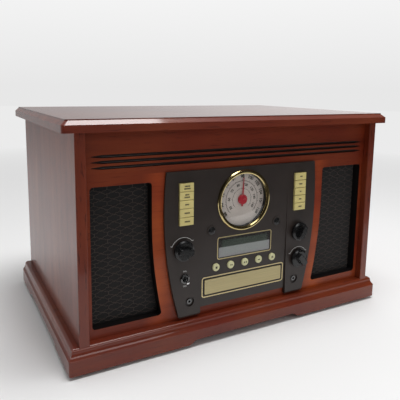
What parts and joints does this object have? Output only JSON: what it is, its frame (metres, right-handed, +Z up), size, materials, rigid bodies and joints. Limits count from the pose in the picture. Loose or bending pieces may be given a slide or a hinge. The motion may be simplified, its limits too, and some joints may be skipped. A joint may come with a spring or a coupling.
{
  "type": "stereo music centre",
  "caption": "Wooden table-top music centre with a hinged lid over a record player, a round tuning dial, keys, knobs, a CD tray and a netted speaker on each side",
  "frame": {"origin": "the floor under the middle of the plinth", "axes": "+Z is up, +X is to the right seen from the front, and the front faces -Y"},
  "size_m": [0.5214, 0.353, 0.3168],
  "materials": {
    "wood": "glossy red-brown mahogany lacquer",
    "board": "dark painted fibreboard",
    "foot_rubber": "black rubber",
    "panel_plastic": "dark brown satin plastic",
    "gold_trim": "gold plated plastic",
    "dial_print": "printed pale dial",
    "clear_plastic": "clear moulded dial cover",
    "red_plastic": "red pointer",
    "display": "grey-green liquid crystal window",
    "net": "grey-brown open net",
    "black_metal": "black painted steel",
    "paper_cone": "black pressed cone",
    "circuit": "green circuit board",
    "core_steel": "plain steel",
    "black_plastic": "black satin plastic",
    "belt_rubber": "black rubber",
    "platter_alloy": "satin aluminium",
    "bright_metal": "bright plated metal",
    "dark_lens": "dark gloss window",
    "key_plastic": "cream-yellow key plastic"
  },
  "bodies": {
    "cabinet": {"plinth": "wood", "side_panel_left": "wood", "side_panel_right": "wood", "upper_rail": "wood", "front_board": "wood", "base_board": "board", "back_panel": "board", "speaker_baffles": "board", "feet": "foot_rubber", "control_panel": "panel_plastic", "dial_bezel": "gold_trim", "dial_face": "dial_print", "dial_glass": "clear_plastic", "display_window": "display", "speaker_nets": "net", "speaker_frames": "black_metal", "rear_sockets": "black_metal", "cd_housing": "black_metal", "speaker_cones": "paper_cone", "control_circuit": "circuit", "power_transformer": "core_steel", "platter_motor": "core_steel", "hinge_cabinet_leaves": "core_steel", "lid_pins": "core_steel", "record_spindle": "core_steel", "deck_plate": "black_plastic", "drive_belt": "belt_rubber", "panel_bushes": "bright_metal", "panel_windows": "dark_lens"},
    "lid": {"lid": "wood", "hinge_lid_leaves": "core_steel", "lid_stay": "core_steel"},
    "platter": {"platter": "platter_alloy", "slipmat": "belt_rubber"},
    "pulley": {"motor_pulley": "platter_alloy"},
    "arm_yoke": {"tonearm_yoke": "platter_alloy"},
    "arm": {"tonearm": "platter_alloy"},
    "speed_switch": {"speed_lever": "black_plastic"},
    "tray": {"cd_tray": "black_plastic", "cd_tray_plate": "gold_trim"},
    "pointer": {"dial_pointer": "red_plastic"},
    "function_control": {"function_knob": "black_plastic"},
    "tuning_control": {"tuning_knob": "black_plastic"},
    "volume_control": {"volume_knob": "black_plastic"},
    "power_switch": {"toggle_lever": "bright_metal"},
    "key_left_1_press": {"key_left_1": "key_plastic"},
    "key_left_2_press": {"key_left_2": "key_plastic"},
    "key_left_3_press": {"key_left_3": "key_plastic"},
    "key_left_4_press": {"key_left_4": "key_plastic"},
    "key_left_5_press": {"key_left_5": "key_plastic"},
    "key_right_1_press": {"key_right_1": "key_plastic"},
    "key_right_2_press": {"key_right_2": "key_plastic"},
    "key_right_3_press": {"key_right_3": "key_plastic"},
    "key_right_4_press": {"key_right_4": "key_plastic"},
    "key_right_5_press": {"key_right_5": "key_plastic"},
    "button_1_press": {"button_1": "key_plastic"},
    "button_2_press": {"button_2": "key_plastic"},
    "button_3_press": {"button_3": "key_plastic"},
    "button_4_press": {"button_4": "key_plastic"},
    "button_5_press": {"button_5": "key_plastic"}
  },
  "joints": [
    {"name": "lid_hinge", "type": "hinge", "parent": "cabinet", "child": "lid", "pos_m": [0, 0.17475, 0.3013], "axis": [-1, 0, 0], "range_deg": [0, 58]},
    {"name": "platter_spin", "type": "hinge", "parent": "cabinet", "child": "platter", "pos_m": [-0.072, 0.01225, 0.2513], "axis": [0, 0, 1], "continuous": true},
    {"name": "pulley_spin", "type": "hinge", "parent": "cabinet", "child": "pulley", "pos_m": [-0.12792, 0.0789, 0.2463], "axis": [0, 0, 1], "continuous": true},
    {"name": "arm_swing", "type": "hinge", "parent": "cabinet", "child": "arm_yoke", "pos_m": [0.118, 0.10725, 0.2513], "axis": [0, 0, -1], "range_deg": [0, 50]},
    {"name": "arm_lift", "type": "hinge", "parent": "arm_yoke", "child": "arm", "pos_m": [0.118, 0.10725, 0.2653], "axis": [-1, 0, 0], "range_deg": [0, 6]},
    {"name": "speed_select", "type": "hinge", "parent": "cabinet", "child": "speed_switch", "pos_m": [0.186, -0.07, 0.2423], "axis": [0, 0, 1], "range_deg": [0, 40]},
    {"name": "tray_slide", "type": "slide", "parent": "cabinet", "child": "tray", "axis": [0, -1, 0], "range_m": [0, 0.132]},
    {"name": "tuning_turn", "type": "hinge", "parent": "cabinet", "child": "tuning_control", "pos_m": [0.0978, -0.1669, 0.1378], "axis": [0, 1, 0], "range_deg": [-500, 500]},
    {"name": "pointer_turn", "type": "hinge", "parent": "cabinet", "child": "pointer", "pos_m": [-0.0036, -0.1549, 0.1966], "axis": [0, 1, 0], "range_deg": [-125, 125]},
    {"name": "function_turn", "type": "hinge", "parent": "cabinet", "child": "function_control", "pos_m": [-0.1009, -0.1669, 0.1374], "axis": [0, 1, 0], "range_deg": [-75, 75]},
    {"name": "volume_turn", "type": "hinge", "parent": "cabinet", "child": "volume_control", "pos_m": [0.0984, -0.1669, 0.0949], "axis": [0, 1, 0], "range_deg": [-100, 200]},
    {"name": "power_toggle", "type": "hinge", "parent": "cabinet", "child": "power_switch", "pos_m": [-0.0983, -0.1574, 0.0966], "axis": [-1, 0, 0], "range_deg": [0, 24]},
    {"name": "key_left_1_slide", "type": "slide", "parent": "cabinet", "child": "key_left_1_press", "axis": [0, 1, 0], "range_m": [0, 0.0015], "stiffness_N_per_m": 300, "springref_m": -0.001},
    {"name": "key_left_2_slide", "type": "slide", "parent": "cabinet", "child": "key_left_2_press", "axis": [0, 1, 0], "range_m": [0, 0.0015], "stiffness_N_per_m": 300, "springref_m": -0.001},
    {"name": "key_left_3_slide", "type": "slide", "parent": "cabinet", "child": "key_left_3_press", "axis": [0, 1, 0], "range_m": [0, 0.0015], "stiffness_N_per_m": 300, "springref_m": -0.001},
    {"name": "key_left_4_slide", "type": "slide", "parent": "cabinet", "child": "key_left_4_press", "axis": [0, 1, 0], "range_m": [0, 0.0015], "stiffness_N_per_m": 300, "springref_m": -0.001},
    {"name": "key_left_5_slide", "type": "slide", "parent": "cabinet", "child": "key_left_5_press", "axis": [0, 1, 0], "range_m": [0, 0.0015], "stiffness_N_per_m": 300, "springref_m": -0.001},
    {"name": "key_right_1_slide", "type": "slide", "parent": "cabinet", "child": "key_right_1_press", "axis": [0, 1, 0], "range_m": [0, 0.0015], "stiffness_N_per_m": 300, "springref_m": -0.001},
    {"name": "key_right_2_slide", "type": "slide", "parent": "cabinet", "child": "key_right_2_press", "axis": [0, 1, 0], "range_m": [0, 0.0015], "stiffness_N_per_m": 300, "springref_m": -0.001},
    {"name": "key_right_3_slide", "type": "slide", "parent": "cabinet", "child": "key_right_3_press", "axis": [0, 1, 0], "range_m": [0, 0.0015], "stiffness_N_per_m": 300, "springref_m": -0.001},
    {"name": "key_right_4_slide", "type": "slide", "parent": "cabinet", "child": "key_right_4_press", "axis": [0, 1, 0], "range_m": [0, 0.0015], "stiffness_N_per_m": 300, "springref_m": -0.001},
    {"name": "key_right_5_slide", "type": "slide", "parent": "cabinet", "child": "key_right_5_press", "axis": [0, 1, 0], "range_m": [0, 0.0015], "stiffness_N_per_m": 300, "springref_m": -0.001},
    {"name": "button_1_slide", "type": "slide", "parent": "cabinet", "child": "button_1_press", "axis": [0, 1, 0], "range_m": [0, 0.0015], "stiffness_N_per_m": 300, "springref_m": -0.001},
    {"name": "button_2_slide", "type": "slide", "parent": "cabinet", "child": "button_2_press", "axis": [0, 1, 0], "range_m": [0, 0.0015], "stiffness_N_per_m": 300, "springref_m": -0.001},
    {"name": "button_3_slide", "type": "slide", "parent": "cabinet", "child": "button_3_press", "axis": [0, 1, 0], "range_m": [0, 0.0015], "stiffness_N_per_m": 300, "springref_m": -0.001},
    {"name": "button_4_slide", "type": "slide", "parent": "cabinet", "child": "button_4_press", "axis": [0, 1, 0], "range_m": [0, 0.0015], "stiffness_N_per_m": 300, "springref_m": -0.001},
    {"name": "button_5_slide", "type": "slide", "parent": "cabinet", "child": "button_5_press", "axis": [0, 1, 0], "range_m": [0, 0.0015], "stiffness_N_per_m": 300, "springref_m": -0.001}
  ],
  "couplings": [
    {"joint": "pulley_spin", "follows": "platter_spin", "ratio": 14.8},
    {"joint": "pointer_turn", "follows": "tuning_turn", "ratio": 0.25}
  ]
}
